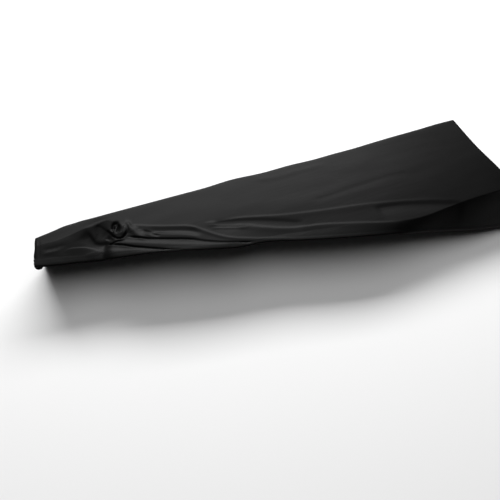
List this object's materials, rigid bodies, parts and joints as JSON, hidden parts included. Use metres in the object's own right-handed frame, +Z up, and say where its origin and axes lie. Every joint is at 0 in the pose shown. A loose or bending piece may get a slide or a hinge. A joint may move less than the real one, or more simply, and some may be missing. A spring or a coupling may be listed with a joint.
{
  "type": "fitted cloth piano cover",
  "caption": "Fitted black stretch-cloth cover for a portable piano: a flat top with skirts, pulled back into a bunch of folds at the front-left corner.",
  "frame": {"origin": "under the top at mid-length, where the flat top rests on what it covers", "axes": "+X along the length to the right end, +Y to the back, +Z up"},
  "size_m": [1.0828, 0.3004, 0.1055],
  "materials": {
    "stretch_cloth": "black knitted stretch cloth, matte with a soft sheen"
  },
  "bodies": {
    "root": {"cover": "stretch_cloth"}
  },
  "joints": []
}
